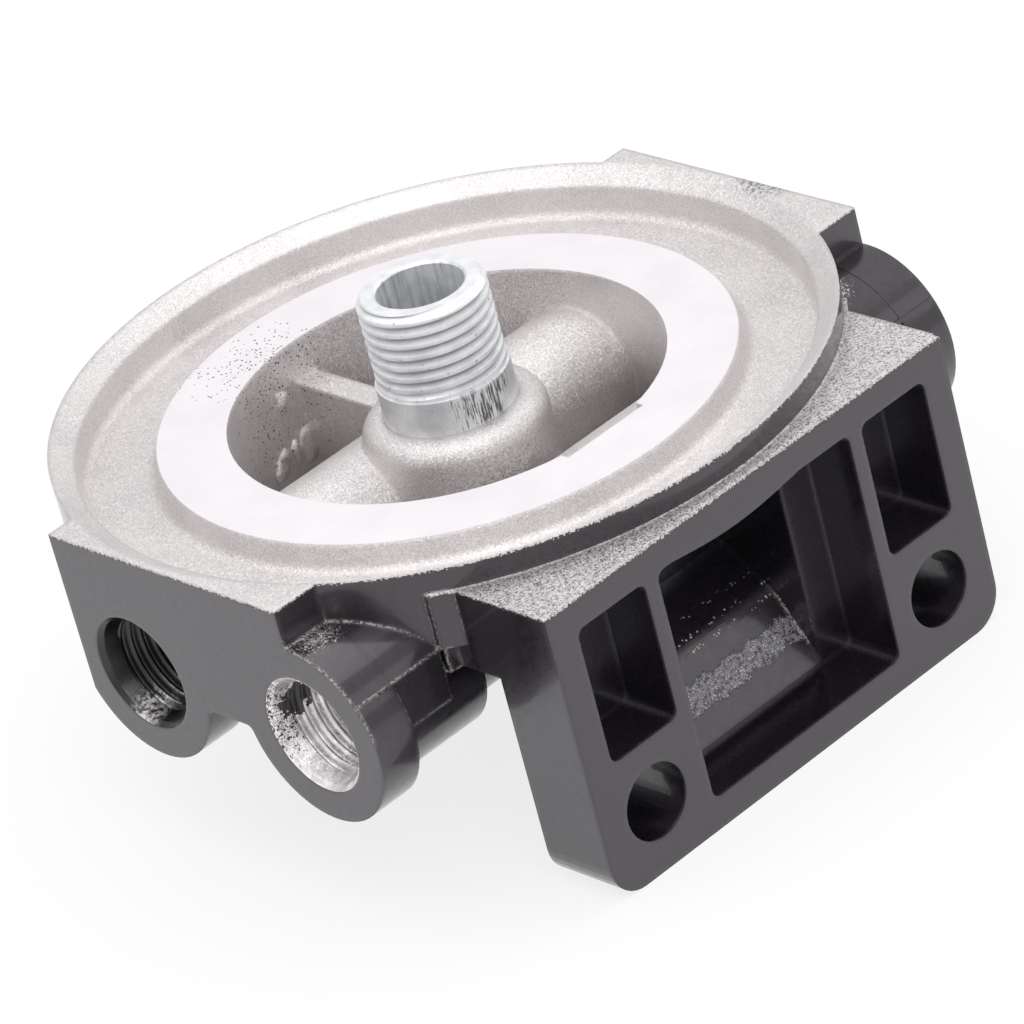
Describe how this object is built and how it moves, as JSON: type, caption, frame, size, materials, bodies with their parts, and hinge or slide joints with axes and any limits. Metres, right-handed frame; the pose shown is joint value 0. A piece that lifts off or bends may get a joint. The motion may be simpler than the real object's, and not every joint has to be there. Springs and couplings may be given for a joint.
{
  "type": "filter head",
  "caption": "Cast spin-on filter head with a ring seat, a hollow threaded nipple, threaded side ports and a pocketed mounting pad with bolt holes.",
  "frame": {"origin": "on the nipple axis, at the machined seal land", "axes": "+Z along the nipple axis towards the canister, X along the ports, -Y out of the mounting pad"},
  "size_m": [0.0974, 0.098, 0.0523],
  "materials": {
    "casting": "gloss black paint over die-cast aluminium, bare and machined on the seat",
    "nipple": "zinc-plated turned steel"
  },
  "bodies": {
    "root": {"filter_head": "casting", "nipple": "nipple"}
  },
  "joints": []
}
